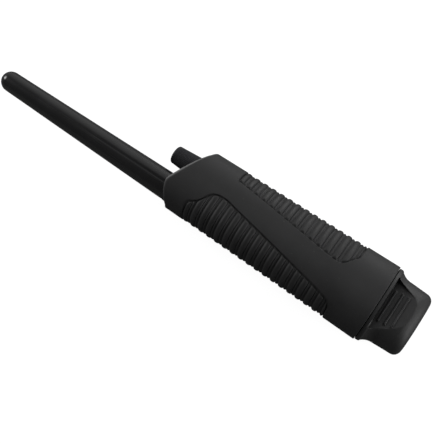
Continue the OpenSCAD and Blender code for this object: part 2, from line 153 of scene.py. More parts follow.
class FinishSettings(bpy.types.PropertyGroup):
    rubber: bpy.props.FloatVectorProperty(
        name="Rubber", description="Colour of the sleeve and the cap", subtype="COLOR", size=4,
        default=(0.021, 0.021, 0.0215, 1.0))
    probe: bpy.props.FloatVectorProperty(
        name="Probe", description="Colour of the glossy tube", subtype="COLOR", size=4,
        default=(0.018, 0.018, 0.0185, 1.0))
    knob: bpy.props.FloatVectorProperty(
        name="Knob", description="Colour of the knob", subtype="COLOR", size=4,
        default=(0.0065, 0.0070, 0.0100, 1.0))
    shell: bpy.props.FloatVectorProperty(
        name="Shell", description="Colour of the hard plastic inside", subtype="COLOR", size=4,
        default=(0.013, 0.013, 0.014, 1.0))


class StageSettings(bpy.types.PropertyGroup):
    floor: bpy.props.FloatVectorProperty(
        name="Floor", description="Colour of the floor", subtype="COLOR", size=4,
        default=(0.22, 0.22, 0.22, 1.0))
    sky: bpy.props.FloatProperty(
        name="Sky", description="Strength of the room's light on the knob's side", default=0.62)
    dim: bpy.props.FloatProperty(
        name="Dim side", description="Strength of the room's light on the probe's side",
        default=0.085)
    glow: bpy.props.FloatProperty(
        name="Glow", description="Extra brightness of the floor", default=0.95)
    focal: bpy.props.FloatProperty(
        name="Lens", description="Focal length of the camera in millimetres", default=56.76)


# ------------------------------------------------------------------ modelling helpers
def deselect():
    """Leave nothing selected in object mode."""
    if bpy.context.mode != "OBJECT":
        bpy.ops.object.mode_set(mode="OBJECT")
    bpy.ops.object.select_all(action="DESELECT")


def only(piece):
    """Make one piece the selected and active one."""
    deselect()
    piece.select_set(True)
    bpy.context.view_layer.objects.active = piece


def named(name):
    """Name the piece that was just added."""
    piece = bpy.context.object
    piece.name = name
    piece.data.name = name
    return piece


def settle(piece, smooth=math.radians(35)):
    """Put the piece's place into its mesh, tidy it and shade it."""
    only(piece)
    bpy.ops.object.transform_apply(location=True, rotation=True, scale=True)
    bpy.ops.object.mode_set(mode="EDIT")
    bpy.ops.mesh.select_all(action="SELECT")
    bpy.ops.mesh.remove_doubles(threshold=0.01 * MM)
    bpy.ops.mesh.normals_make_consistent(inside=False)
    bpy.ops.object.mode_set(mode="OBJECT")
    bpy.ops.object.shade_smooth_by_angle(angle=smooth)
    return piece


def apply_modifier(piece, kind, **values):
    """Add a modifier, set it and apply it."""
    only(piece)
    modifier = piece.modifiers.new(kind.title(), kind)
    for key, value in values.items():
        setattr(modifier, key, value)
    bpy.ops.object.modifier_apply(modifier=modifier.name)


def finish_piece(piece, node):
    """Let a finished piece stand for a frame's node, with that node's body and finish."""
    piece.data.materials.clear()
    piece.data.materials.append(slot_finish(SLOT_OF[node]))
    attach(piece, BODY_OF[node])
    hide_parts(node)


def turned(name, profile, axis_y, steps=96, closed=False):
    """Turn a profile of (x, radius) points round the X axis at axis_y, as on a lathe."""
    deselect()
    start = Vector((profile[0][0], axis_y + profile[0][1], MID_Z))
    bpy.ops.mesh.primitive_plane_add(size=MM, location=start)
    piece = named(name)
    bpy.ops.object.mode_set(mode="EDIT")
    bpy.ops.mesh.select_all(action="SELECT")
    bpy.ops.mesh.merge(type="CENTER")
    points = profile[1:] + ([profile[0]] if closed else [])
    here = profile[0]
    for point in points:
        step = (point[0] - here[0], point[1] - here[1], 0)
        bpy.ops.mesh.extrude_region_move(TRANSFORM_OT_translate={"value": step})
        here = point
    bpy.ops.mesh.select_all(action="SELECT")
    bpy.ops.mesh.spin(steps=steps, angle=TAU, center=(0, axis_y, MID_Z), axis=(1, 0, 0))
    bpy.ops.object.mode_set(mode="OBJECT")
    return settle(piece)


def arc(x, r, radius, first, last, steps):
    """Points of an arc in a profile, from one angle to another in degrees."""
    angles = np.linspace(math.radians(first), math.radians(last), steps + 1)
    return [(x + radius * math.cos(a), r + radius * math.sin(a)) for a in angles]


def coordinates(piece):
    """The piece's vertices as an array."""
    flat = np.empty(len(piece.data.vertices) * 3)
    piece.data.vertices.foreach_get("co", flat)
    return flat.reshape(-1, 3)


def place(piece, points):
    """Move the piece's vertices to these points."""
    piece.data.vertices.foreach_set("co", np.asarray(points, dtype=float).ravel())
    piece.data.update()


def paint(piece, name, values):
    """Store one number per vertex for the materials to read."""
    layer = piece.data.attributes.new(name, "FLOAT", "POINT")
    layer.data.foreach_set("value", np.asarray(values, dtype=float))


def smoothstep(low, high, value):
    """Rise smoothly from 0 at low to 1 at high."""
    t = np.clip((value - low) / (high - low), 0, 1)
    return t * t * (3 - 2 * t)


def oval(turn, half_w, half_t):
    """The point at an angle of a superellipse of this half width and half thickness."""
    c, s = np.cos(turn), np.sin(turn)
    y = half_w * np.sign(c) * np.abs(c) ** (2 / SQUARENESS)
    z = half_t * np.sign(s) * np.abs(s) ** (2 / SQUARENESS)
    return y, z


def run_round(half_w, half_t):
    """Fine angles round a superellipse, and how far round its outline each one lies."""
    fine = np.linspace(0, TAU, FINE_TURNS + 1)
    y, z = oval(fine, half_w, half_t)
    return fine, y, np.concatenate([[0], np.cumsum(np.hypot(np.diff(y), np.diff(z)))])


def even_turns(count, half_w, half_t):
    """Angles that space points evenly round a superellipse."""
    fine, _, run = run_round(half_w, half_t)
    return np.interp(np.arange(count) * run[-1] / count, run, fine)


def inside_by(outline, x, y):
    """Distance of points inside a closed outline, negative outside it."""
    nearest = np.full(x.shape, np.inf)
    inside = np.zeros(x.shape, dtype=bool)
    for (ax, ay), (bx, by) in zip(outline, outline[1:] + outline[:1]):
        dx, dy = bx - ax, by - ay
        t = np.clip(((x - ax) * dx + (y - ay) * dy) / (dx * dx + dy * dy), 0, 1)
        nearest = np.minimum(nearest, np.hypot(x - ax - t * dx, y - ay - t * dy))
        if ay != by:
            crosses = ((ay > y) != (by > y)) & (x < ax + (y - ay) * dx / (by - ay))
            inside ^= crosses
    return np.where(inside, nearest, -nearest)


# ------------------------------------------------------------------ grip sleeve
HOOD_Y = -14.6 * MM                 # where the hood's slanted front meets its rounded cheek
FAR = 40                            # beyond the grip's side, in millimetres
# Inner edges of the two ribbed panels, seen from above, from the hood to the cap
PROBE_EDGE = [(2.8, -24), (2.9, -21), (4.2, -18.6), (7, -17.2), (10, -14.6), (11.8, -11.4),
              (13.4, -8.4), (16, -5.8), (20, -4.2), (27, -3.9), (33, -5.5), (116.5, -21.4),
              (121.6, -23.4), (123.3, -26.5)]
KNOB_EDGE = [(23.5, 13.8), (24.4, 12.6), (26.5, 12.4), (31, 11.9), (108, 1.8), (113, 2.0),
             (116.8, 4.6), (119.8, 9.4), (122.6, 13.4)]
PANEL_START, PANEL_END = 2.8 * MM, 123.4 * MM
HOOD_JOIN = 5.5 * MM                # the hood's slanted rings end here and straight ones begin
HOOD_RINGS, RIBBED_RINGS, REAR_RINGS, INNER_RINGS = 26, 296, 14, 18
AROUND = 232                        # columns of the sleeve's mesh
KNOB_COLUMN, PROBE_COLUMN = 0.14, 0.36      # shares of the way round where the panels' edges run


def rounded(points, times=2):
    """Cut the corners of an open outline, keeping its two ends."""
    for _ in range(times):
        cut = [points[0]]
        for (ax, ay), (bx, by) in zip(points, points[1:]):
            cut += [(0.75 * ax + 0.25 * bx, 0.75 * ay + 0.25 * by),
                    (0.25 * ax + 0.75 * bx, 0.25 * ay + 0.75 * by)]
        points = cut + [points[-1]]
    return points


def hood_front(y, z, slant):
    """X of the hood's front edge, at a point of the section."""
    bend, dip, dip_reach, forward = 3.5 * MM, 0.6 * MM, 8 * MM, 1.3 * MM
    cheek_curve = 38                # per metre
    slanted = HOOD_X + (y - HOOD_Y) * math.tan(slant)
    cheek = HOOD_X + cheek_curve * np.maximum(-(y - HOOD_Y), 0) ** 2
    side = dip * np.clip(1 - np.abs(z) / dip_reach, 0, 1) ** 2
    edge = np.where(y > HOOD_Y, slanted, cheek + side)
    blend = smoothstep(-bend, bend, y - HOOD_Y)
    edge = np.where(np.abs(y - HOOD_Y) < bend, slanted * blend + cheek * (1 - blend), edge)
    return edge - forward * smoothstep(19 * MM, 27 * MM, y)


def rib_height(x, pitch):
    """Height of the ribs at x, from 0 in a groove to 1: a wide rib, then a small bead."""
    phase = np.mod((x - PANEL_START) / pitch, 1.0)

    def ridge(middle, half, height):
        return height * np.sqrt(np.clip(1 - ((phase - middle) / half) ** 2, 0, 1))

    return np.maximum(ridge(0.34, 0.29, 1.0), ridge(0.81, 0.12, 0.5))


def panel_depth(x, y, size):
    """Depth of the ribbed panels below the smooth band, and how much of a crest there is."""
    depth = np.zeros(x.shape)
    crest = np.zeros(x.shape)
    for edge, side in ((PROBE_EDGE, -FAR), (KNOB_EDGE, FAR)):
        line = rounded(edge)
        outline = [(line[0][0], side)] + line + [(PANEL_END / MM, side)]
        inside = inside_by([(px * MM, py * MM) for px, py in outline], x, y)
        drop = smoothstep(-0.15 * MM, 0.55 * MM, inside)
        rise = smoothstep(0.5 * MM, 1.7 * MM, inside)
        height = rib_height(x, size.pitch) * rise
        depth += drop * (size.groove - (size.groove - size.recess) * height)
        crest += drop * height
    return depth, crest


def gathered_turns(column, x, half_w):
    """Angles round the section, drawn together along the edges of the ribbed panels."""
    fine, y, run = run_round(1.0, GRIP_HALF_T / half_w.mean())
    run /= run[-1]
    upper = fine <= math.pi
    edge_run = {}
    for column_at, edge in ((KNOB_COLUMN, KNOB_EDGE), (PROBE_COLUMN, PROBE_EDGE)):
        line = rounded(edge)
        at = np.interp(x, [px * MM for px, _ in line], [py * MM for _, py in line]) / half_w
        edge_run[column_at] = np.interp(-at, -y[upper], run[upper])
    # Columns lie closer together where an edge runs: each edge keeps the same columns throughout.
    gather, gather_reach = 0.011, 0.05
    even = column / AROUND
    pulled = even - gather * sum(
        np.sin(np.clip((even - stop) / gather_reach, -1, 1) * math.pi)
        for stop in (KNOB_COLUMN, PROBE_COLUMN, 1 - PROBE_COLUMN, 1 - KNOB_COLUMN))
    stops = np.array([0, KNOB_COLUMN, 0.25, PROBE_COLUMN, 0.5, 1 - PROBE_COLUMN, 0.75,
                      1 - KNOB_COLUMN, 1])
    knob, probe = edge_run[KNOB_COLUMN], edge_run[PROBE_COLUMN]
    ends = np.stack([np.zeros_like(x), knob, np.full_like(x, 0.25), probe, np.full_like(x, 0.5),
                     1 - probe, np.full_like(x, 0.75), 1 - knob, np.ones_like(x)])
    step = np.clip(np.searchsorted(stops, pulled, side="right") - 1, 0, len(stops) - 2)
    many = np.arange(len(x))
    part = (pulled - stops[step]) / (stops[step + 1] - stops[step])
    share = ends[step, many] * (1 - part) + ends[step + 1, many] * part
    return np.interp(share, run, fine)


# Sound slots through the sleeve's underside, below the speaker
SLOTS = 5
SLOT_PITCH, SLOT_WIDE, SLOT_LONG, SLOT_DEEP = 4.0 * MM, 1.6 * MM, 14.0 * MM, 4.5 * MM


def cut_sound_slots(piece):
    """Cut the row of round-ended slots out of the sleeve's underside."""
    speaker_low, speaker_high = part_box("speaker_cone")
    middle = (speaker_low + speaker_high) / 2
    for number in range(SLOTS):
        deselect()
        bpy.ops.mesh.primitive_cube_add(
            location=(middle.x + (number - SLOTS // 2) * SLOT_PITCH, middle.y,
                      REST_Z + SLOT_DEEP / 2 - 1 * MM))
        cutter = named("slot_cutter")
        cutter.scale = (SLOT_WIDE / 2, SLOT_LONG / 2, SLOT_DEEP / 2)
        bpy.ops.object.transform_apply(location=True, rotation=True, scale=True)
        apply_modifier(cutter, "BEVEL", width=0.45 * SLOT_WIDE, segments=3)
        apply_modifier(piece, "BOOLEAN", object=cutter, operation="DIFFERENCE",
                       solver="MANIFOLD")
        bpy.data.objects.remove(cutter)


class WAND_OT_sleeve(bpy.types.Operator):
    """Model the rubber grip sleeve with its hood and ribbed panels"""
    bl_idname = "wand.sleeve"
    bl_label = "Grip sleeve"

    def execute(self, context):
        size = context.scene.wand_sleeve
        lip, wall = size.lip, size.wall
        # Each ring is (kind, place, inset). A "hood" or "inner" place is a share of the way from
        # the hood's edge to the join, an "edge" place a distance from the hood's edge, and a
        # "body" place an X.
        rings = [("hood", t, 0.0) for t in np.linspace(0, 1, HOOD_RINGS, endpoint=False)]
        ribbed = np.linspace(HOOD_JOIN, PANEL_END + 0.6 * MM, RIBBED_RINGS)
        rear = np.linspace(PANEL_END + 1.8 * MM, SLEEVE_END - 0.8 * MM, REAR_RINGS)
        rings += [("body", x, 0.0) for x in np.concatenate([ribbed, rear])]
        rings += [("body", SLEEVE_END - 0.25 * MM, 0.02 * MM),
                  ("body", SLEEVE_END - 0.08 * MM, 0.1 * MM), ("body", SLEEVE_END, 0.25 * MM),
                  ("body", SLEEVE_END, wall - 0.3 * MM), ("body", SLEEVE_END - 0.3 * MM, wall)]
        rings += [("body", x, wall)
                  for x in np.linspace(SLEEVE_END - 6 * MM, HOOD_JOIN, INNER_RINGS)]
        rings += [("inner", t, wall) for t in np.linspace(0.9, 0.1, 9)]
        rings += [("edge", 1.2 * MM, wall + 0.1 * MM), ("edge", 0.5 * MM, wall + 0.1 * MM),
                  ("edge", 0.1 * MM, wall - 0.1 * MM)]
        rings += [("edge", lip * (1 - math.cos(a)), lip * (1 - math.sin(a)))
                  for a in np.linspace(0, math.pi / 2, 8)[:-1]]
        deselect()
        bpy.ops.mesh.primitive_grid_add(
            x_subdivisions=AROUND, y_subdivisions=len(rings), size=1)
        piece = named("sleeve")
        start = coordinates(piece)
        column = np.rint((start[:, 0] + 0.5) * AROUND) % AROUND
        ring = np.rint((start[:, 1] + 0.5) * len(rings)).astype(int) % len(rings)
        kind = np.array([row[0] for row in rings])[ring]
        run = np.array([row[1] for row in rings])[ring]
        inset = np.array([row[2] for row in rings])[ring]

        def half_width(x):
            """Half width of the grip at x, from the hood to the cap."""
            return size.front_width / 2 + (GRIP_HALF_W - size.front_width / 2) * (
                (x - HOOD_X) / (SLEEVE_END - HOOD_X))

        # The hood's edge depends on the section, so it is worked out first, at the join's columns.
        body = kind == "body"
        turn = gathered_turns(column, np.where(body, run, HOOD_JOIN), half_width(run * 0))
        edge_y, edge_z = oval(turn, size.front_width / 2, GRIP_HALF_T)
        edge = hood_front(edge_y, edge_z, size.slant)
        x = np.where(kind == "hood", edge + lip + (HOOD_JOIN - edge - lip) * run, run)
        x = np.where(kind == "inner", edge + (HOOD_JOIN - edge) * run, x)
        x = np.where(kind == "edge", edge + run, x)
        half_w = half_width(x)
        plan_y, _ = oval(turn, half_w, GRIP_HALF_T)
        depth, crest = panel_depth(x, plan_y, size)
        outside = (inset == 0)
        inset = inset + np.where(outside, depth, 0)
        y, z = oval(turn, half_w - inset, GRIP_HALF_T - inset)
        z = np.maximum(MID_Z + z, REST_Z)
        place(piece, np.stack([x, y, z], axis=1))
        paint(piece, "crest", np.where(outside, crest, 0))
        # A pale highlight is painted along the hood's lip and kept as the "lip" number: full at the
        # edge, gone 2.2 mm behind it, and stronger on the slanted part than on the cheek.
        behind_edge = np.where(kind == "edge", 0, x - edge)
        lip_highlight = np.where(kind == "edge", 1, smoothstep(2.2 * MM, 1.0 * MM, behind_edge))
        slanted = 0.25 + 0.75 * smoothstep(-18 * MM, -11 * MM, plan_y)
        paint(piece, "lip", lip_highlight * slanted * (kind != "inner"))
        settle(piece, math.radians(75))
        cut_sound_slots(piece)
        finish_piece(piece, "grip_sleeve")
        return {"FINISHED"}


# ------------------------------------------------------------------ probe
class WAND_OT_probe(bpy.types.Operator):
    """Model the glossy probe tube with its rounded tip and the shallow groove along it"""
    bl_idname = "wand.probe"
    bl_label = "Probe"

    def execute(self, context):
        size = context.scene.wand_probe
        tip = probe_low.x
        taper_end = HOOD_X - 5 * MM
        wall, socket, socket_bore = 1.6 * MM, 7.2 * MM, 5.6 * MM
        profile = arc(tip + size.tip_radius, 0, size.tip_radius, 180, 90, 20)
        profile += [(tip + size.tip_radius + (taper_end - tip - size.tip_radius) * t,
                     size.tip_radius + (size.root_radius - size.tip_radius) * t)
                    for t in np.linspace(0.02, 1, 50)]
        profile += [(nose_low.x, size.root_radius), (nose_low.x, socket),
                    (probe_high.x - 0.4 * MM, socket), (probe_high.x, socket - 0.4 * MM),
                    (probe_high.x, socket_bore), (nose_low.x - 4 * MM, socket_bore),
                    (nose_low.x - 6 * MM, size.root_radius - wall),
                    (taper_end, size.root_radius - wall)]
        profile += arc(tip + size.tip_radius, 0, size.tip_radius - wall, 90, 180, 10)
        piece = turned("probe", profile, PROBE_Y, steps=128)
        # A shallow groove runs along the top and the bottom, and fades out towards the tip.
        groove_off, groove_half = 1.9 * MM, 0.9 * MM
        fade_x, full_x = -112 * MM, -80 * MM
        points = coordinates(piece)
        across = points[:, 1] - PROBE_Y
        up = points[:, 2] - MID_Z
        reach = np.hypot(across, up)
        fade = smoothstep(fade_x, full_x, points[:, 0])
        sunk = np.exp(-((across + groove_off) / groove_half) ** 2) * fade * size.groove
        outside = reach > size.tip_radius - 0.1 * MM
        shrink = 1 - np.where(outside, sunk, 0) / np.maximum(reach, MM)
        points[:, 1] = PROBE_Y + across * shrink
        points[:, 2] = MID_Z + up * shrink
        place(piece, points)
        finish_piece(piece, "probe_tube")
        return {"FINISHED"}


class WAND_OT_collar(bpy.types.Operator):
    """Model the flared collar round the probe's root"""
    bl_idname = "wand.collar"
    bl_label = "Probe collar"

    def execute(self, context):
        low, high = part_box("probe_collar")
        outer = (high.y - low.y) / 2
        inner = context.scene.wand_probe.root_radius + 0.05 * MM
        flare = 4 * MM
        profile = [(low.x, inner), (low.x, inner + 0.12 * MM)]
        profile += [(low.x + flare * t, inner + 0.2 * MM + (outer - inner - 0.2 * MM) * t ** 2)
                    for t in np.linspace(0.1, 1, 10)]
        profile += [(high.x, outer), (high.x, inner)]
        piece = turned("collar", profile, PROBE_Y, closed=True)
        finish_piece(piece, "probe_collar")
        return {"FINISHED"}


class WAND_OT_coils(bpy.types.Operator):
    """Wind the transmit and receive coils, one ridge for each turn of wire"""
    bl_idname = "wand.coils"
    bl_label = "Coils"

    def execute(self, context):
        wire, winding = 0.5 * MM, 1.05 * MM     # thickness of the wire and of the whole winding
        for node in ("transmit_coil", "receive_coil"):
            low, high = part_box(node)
            outer = (high.y - low.y) / 2
            inner = outer - winding
            turns = int((high.x - low.x) / wire)
            pitch = (high.x - low.x) / turns
            profile = [(low.x, inner)]
            for turn in range(turns):
                middle = low.x + (turn + 0.5) * pitch
                profile += [(middle + pitch * 0.5 * math.cos(a),
                             outer - pitch * 0.5 * (1 - math.sin(a)))
                            for a in np.radians([165, 120, 90, 60, 15])]
            profile += [(high.x, inner)]
            piece = turned(node + "_winding", profile, PROBE_Y, steps=40, closed=True)
            finish_piece(piece, node)
        return {"FINISHED"}


# ------------------------------------------------------------------ knob
class WAND_OT_knob(bpy.types.Operator):
    """Model the fluted control knob"""
    bl_idname = "wand.knob"
    bl_label = "Control knob"

    def execute(self, context):
        size = context.scene.wand_knob
        front, rear = knob_low.x, knob_high.x
        front_r, rear_r = 6.9 * MM, (knob_high.y - knob_low.y) / 2
        corner, bore, shaft_hole = 1.5 * MM, 6.4 * MM, 3.06 * MM
        wide_x = HOOD_X + 8 * MM    # the knob widens as far as this
        hub_x, hole_x = nose_low.x - 9 * MM, front + 9.5 * MM
        core_r, skin_r = 6.55 * MM, 6.85 * MM       # the flutes fade in between these radii
        profile = [(front + 0.35 * MM, 0), (front + 0.35 * MM, front_r - 2.6 * MM),
                   (front + 0.05 * MM, front_r - 2.0 * MM)]
        profile += arc(front + corner, front_r - corner, corner, 180, 90, 6)
        profile += [(front + corner + (wide_x - front - corner) * t,
                     front_r + (rear_r - front_r) * t) for t in np.linspace(0.04, 1, 22)]
        profile += [(rear - 0.5 * MM, rear_r), (rear, rear_r - 0.5 * MM), (rear, bore + 0.2 * MM),
                    (rear - 0.2 * MM, bore), (hub_x, bore), (hub_x, shaft_hole),
                    (hole_x, shaft_hole), (hole_x, 0)]
        piece = turned("knob", profile, KNOB_Y, steps=size.flutes * 6)
        points = coordinates(piece)
        across = points[:, 1] - KNOB_Y
        up = points[:, 2] - MID_Z
        reach = np.hypot(across, up)
        skin = smoothstep(core_r, skin_r, reach) * smoothstep(
            front + 1.2 * MM, front + 3.2 * MM, points[:, 0])
        wave = 0.5 - 0.5 * np.cos(np.arctan2(up, across) * size.flutes)
        shrink = 1 - skin * size.flute_depth * wave ** 2 / np.maximum(reach, MM)
        points[:, 1] = KNOB_Y + across * shrink
        points[:, 2] = MID_Z + up * shrink
        place(piece, points)
        finish_piece(piece, "control_knob")
        return {"FINISHED"}


# ------------------------------------------------------------------ end cap
CAP_AROUND = 448                    # columns of the cap's mesh
FLANGE_W, FLANGE_T = 28.6 * MM, 18.6 * MM   # half width and half thickness of the flange
BLOCK_W, BLOCK_T = 24.4 * MM, 16.5 * MM     # and of the block behind it
FLANGE_RING = 16                    # rings up to this one belong to the plug and the flange's rim
# Edge of a finger scoop, from the flange to the end: (distance behind the seam, half width)
SCOOP_SIDE = [(2.2, 20.2), (3.4, 19.8), (14.0, 15.8), (26.0, 11.3), (26.5, 10.5)]
SCOOP_RISE = math.radians(15)       # slope of the scoop's floor
SCOOP_SHIFT = 2.2 * MM              # the scoops lie this far to one side of the middle
SCOOP_RIBS = [5.6, 10.4, 14.9]      # places of the ribs, behind the seam
RIB_HALF_LENGTH, RIB_HALF_WIDTH = 12.8 * MM, 0.9 * MM


def cap_profile():
    """Rings of the cap from its pocket to its end: (x, half width, half thickness)."""
    plug_w, plug_t = gasket_high.y - 0.7 * MM, (gasket_high.z - gasket_low.z) / 2 - 0.7 * MM
    pocket_w = (foam_high.y - foam_low.y) / 2 + 0.05 * MM
    pocket_t = (foam_high.z - foam_low.z) / 2 + 0.05 * MM
    pocket_x, plug_x = foam_high.x + 0.05 * MM, cap_low.x
    rings = [(pocket_x, pocket_w * t, pocket_t * t) for t in (0.0, 0.6, 0.98)]
    rings += [(pocket_x - 0.2 * MM, pocket_w, pocket_t), (plug_x + 0.4 * MM, pocket_w, pocket_t)]
    rings += [(plug_x, pocket_w + 0.4 * MM, pocket_t + 0.4 * MM),
              (plug_x, plug_w - 1.0 * MM, plug_t - 1.0 * MM),
              (plug_x + 0.3 * MM, plug_w - 0.3 * MM, plug_t - 0.3 * MM),
              (plug_x + 1.0 * MM, plug_w, plug_t), (SEAM_X - 0.2 * MM, plug_w, plug_t)]
    rings += [(SEAM_X, plug_w + 0.3 * MM, plug_t + 0.3 * MM),
              (SEAM_X, FLANGE_W - 0.7 * MM, FLANGE_T - 0.7 * MM)]
    rim = 0.3 * MM
    for a in np.linspace(15, 90, 4):
        c, s = math.cos(math.radians(a)), math.sin(math.radians(a))
        rings.append((SEAM_X + rim * (1 - c), FLANGE_W - rim * (1 - s),
                      FLANGE_T - rim * (1 - s)))
    rings += [(SEAM_X + x * MM, FLANGE_W - d * MM, FLANGE_T - d * MM)
              for x, d in ((1.4, 0.0), (2.1, 0.03), (2.6, 0.16), (3.0, 0.42), (3.3, 0.8))]
    # The neck sweeps in from the flange to the block in a concave curve.
    rear_w, rear_t = FLANGE_W - 1.2 * MM, FLANGE_T - 1.2 * MM
    for t in np.linspace(0, 1, 24):
        ease = (1 - t) ** 2.2
        rings.append((SEAM_X + (3.5 + 7.5 * t) * MM, BLOCK_W + (rear_w - BLOCK_W) * ease,
                      BLOCK_T + (rear_t - BLOCK_T) * ease * 0.8))
    # The block narrows a little towards its end.
    end_w, end_t = BLOCK_W - 0.5 * MM, BLOCK_T - 0.4 * MM
    for t in np.linspace(0, 1, 30):
        rings.append((SEAM_X + 11.2 * MM + (END_X - 8.6 * MM - SEAM_X - 11.2 * MM) * t,
                      BLOCK_W + (end_w - BLOCK_W) * t, BLOCK_T + (end_t - BLOCK_T) * t))
    # The broad faces roll over to the end face; in plan the corners are smaller.
    first, last = math.radians(18), math.radians(80)
    roll, drop, corner, dome = 8.0 * MM, 8.6 * MM, 5.0 * MM, 0.5 * MM
    for a in np.linspace(first, last, 26):
        run = (math.sin(a) - math.sin(first)) / (math.sin(last) - math.sin(first))
        x = END_X - dome - roll * (1 - run)
        past = min(max(x - (END_X - 0.3 * MM - corner), 0), corner)
        rings.append((x, end_w - corner + math.sqrt(corner ** 2 - past ** 2),
                      end_t - drop * (math.cos(first) - math.cos(a))))
    # A slightly domed end face closes the block.
    last_x, last_w, last_t = rings[-1]
    for t in np.linspace(0.12, 1, 10):
        rings.append((last_x + (END_X - last_x) * (1 - (1 - t) ** 2), last_w * (1 - t),
                      last_t * (1 - t)))
    return rings


class WAND_OT_cap(bpy.types.Operator):
    """Model the battery cap with its flange, neck, block and finger scoops"""
    bl_idname = "wand.cap"
    bl_label = "Battery cap"

    def execute(self, context):
        size = context.scene.wand_cap
        rings = cap_profile()
        deselect()
        bpy.ops.mesh.primitive_uv_sphere_add(
            segments=CAP_AROUND, ring_count=len(rings) - 1, radius=1)
        piece = named("cap")
        start = coordinates(piece)
        fall = np.arccos(np.clip(start[:, 2], -1, 1))
        which_ring = np.rint(fall / math.pi * (len(rings) - 1)).astype(int)
        which_turn = np.rint(np.arctan2(start[:, 1], start[:, 0]) / TAU * CAP_AROUND).astype(int)
        turn = even_turns(CAP_AROUND, BLOCK_W, BLOCK_T)[which_turn % CAP_AROUND]
        x = np.array([ring[0] for ring in rings])[which_ring]
        half_w = np.array([ring[1] for ring in rings])[which_ring]
        half_t = np.array([ring[2] for ring in rings])[which_ring]
        y, z = oval(turn, half_w, half_t)

        # Finger scoops on both broad faces: a floor that rises from the flange to the end, and
        # ribs across it.
        along = x - SEAM_X
        across = y + SCOOP_SHIFT * np.sign(z)
        outline = [(px * MM, py * MM) for px, py in rounded(SCOOP_SIDE, 1)]
        outline += [(px, -py) for px, py in reversed(outline)]
        inside = smoothstep(-0.1 * MM, 0.5 * MM, inside_by(outline, along, across))
        floor = BLOCK_T - size.scoop_depth - 1.0 * MM + along * math.tan(SCOOP_RISE)
        ends = smoothstep(0, 0.8 * MM, RIB_HALF_LENGTH - np.abs(across))
        for rib in SCOOP_RIBS:
            ridge = np.sqrt(np.clip(1 - ((along - rib * MM) / RIB_HALF_WIDTH) ** 2, 0, 1))
            floor = floor + size.rib_height * ridge * ends
        cut = np.where(which_ring > FLANGE_RING, inside, 0)
        lowered = np.minimum(np.abs(z), floor)
        new_z = np.sign(z) * (np.abs(z) * (1 - cut) + lowered * cut)
        place(piece, np.stack([x, y, MID_Z + new_z], axis=1))
        settle(piece, math.radians(32))
        finish_piece(piece, "end_cap")
        return {"FINISHED"}


# ------------------------------------------------------------------ shader building blocks
def add_node(tree, kind, settings=None, **inputs):
    """Add a node; an input, named or numbered as i0 and so on, takes a value or a link."""
    made = tree.nodes.new(kind)
    for key, value in (settings or {}).items():
        setattr(made, key, value)
    for key, value in inputs.items():
        socket = made.inputs[int(key[1:])] if key[0] == "i" and key[1:].isdigit() else None
        socket = socket or made.inputs[key.replace("_", " ")]
        if isinstance(value, bpy.types.NodeSocket):
            tree.links.new(value, socket)
        else:
            socket.default_value = value
    return made


def maths(tree, operation, a, b=0.0, clamp=False):
    """The output of a maths node."""
    made = add_node(tree, "ShaderNodeMath", {"operation": operation, "use_clamp": clamp},
                    i0=a, i1=b)
    return made.outputs[0]


def new_group(name, inputs, outputs):
    """Start a shader node group with named float sockets."""
    tree = bpy.data.node_groups.new(name, "ShaderNodeTree")
    for label, value in inputs.items():
        socket = tree.interface.new_socket(label, in_out="INPUT", socket_type="NodeSocketFloat")
        socket.default_value = value
    for label in outputs:
        tree.interface.new_socket(label, in_out="OUTPUT", socket_type="NodeSocketFloat")
    return tree, tree.nodes.new("NodeGroupInput"), tree.nodes.new("NodeGroupOutput")


def grain_group():
    """Fine moulded grain: its height, and slow patches of polish."""
    if "Moulded grain" in bpy.data.node_groups:
        return bpy.data.node_groups["Moulded grain"]
    tree, given, result = new_group(
        "Moulded grain", {"Grains per metre": 3000.0, "Patches per metre": 60.0},
        ["Height", "Patches"])
    place_of = tree.nodes.new("ShaderNodeTexCoord").outputs["Object"]
    fine = add_node(tree, "ShaderNodeTexNoise", Vector=place_of, Detail=3.0, Roughness=0.6,
                    Scale=given.outputs["Grains per metre"])
    pits = add_node(tree, "ShaderNodeTexVoronoi", {"feature": "SMOOTH_F1"}, Vector=place_of,
                    Scale=maths(tree, "MULTIPLY", given.outputs["Grains per metre"], 0.55))
    height = maths(tree, "ADD", maths(tree, "MULTIPLY", fine.outputs[0], 0.6),
                   maths(tree, "MULTIPLY", pits.outputs["Distance"], 0.5))
    patches = add_node(tree, "ShaderNodeTexNoise", Vector=place_of, Detail=4.0, Roughness=0.62,
                       Scale=given.outputs["Patches per metre"])
    tree.links.new(height, result.inputs["Height"])
    tree.links.new(patches.outputs[0], result.inputs["Patches"])
    return tree


def handling_group():
    """Marks of handling: fine scuffs along the part and specks of dust."""
    if "Handling" in bpy.data.node_groups:
        return bpy.data.node_groups["Handling"]
    tree, given, result = new_group(
        "Handling", {"Scuffs per metre": 900.0, "Stretch": 0.06, "Specks per metre": 500.0},
        ["Scuffs", "Dust"])
    place_of = tree.nodes.new("ShaderNodeTexCoord").outputs["Object"]
    scale = add_node(tree, "ShaderNodeCombineXYZ", X=given.outputs["Stretch"], Y=1.0, Z=1.0)
    drawn = add_node(tree, "ShaderNodeVectorMath", {"operation": "MULTIPLY"}, i0=place_of,
                     i1=scale.outputs[0])
    lines = add_node(tree, "ShaderNodeTexNoise", Vector=drawn.outputs[0], Detail=2.0,
                     Scale=given.outputs["Scuffs per metre"])
    sharp = add_node(tree, "ShaderNodeMapRange", Value=lines.outputs[0], From_Min=0.60,
                     From_Max=0.74)
    specks = add_node(tree, "ShaderNodeTexNoise", Vector=place_of, Detail=1.0,
                      Scale=given.outputs["Specks per metre"])
    dust = add_node(tree, "ShaderNodeMapRange", Value=specks.outputs[0], From_Min=0.70,
                    From_Max=0.80)
    tree.links.new(sharp.outputs[0], result.inputs["Scuffs"])
    tree.links.new(dust.outputs[0], result.inputs["Dust"])
    return tree


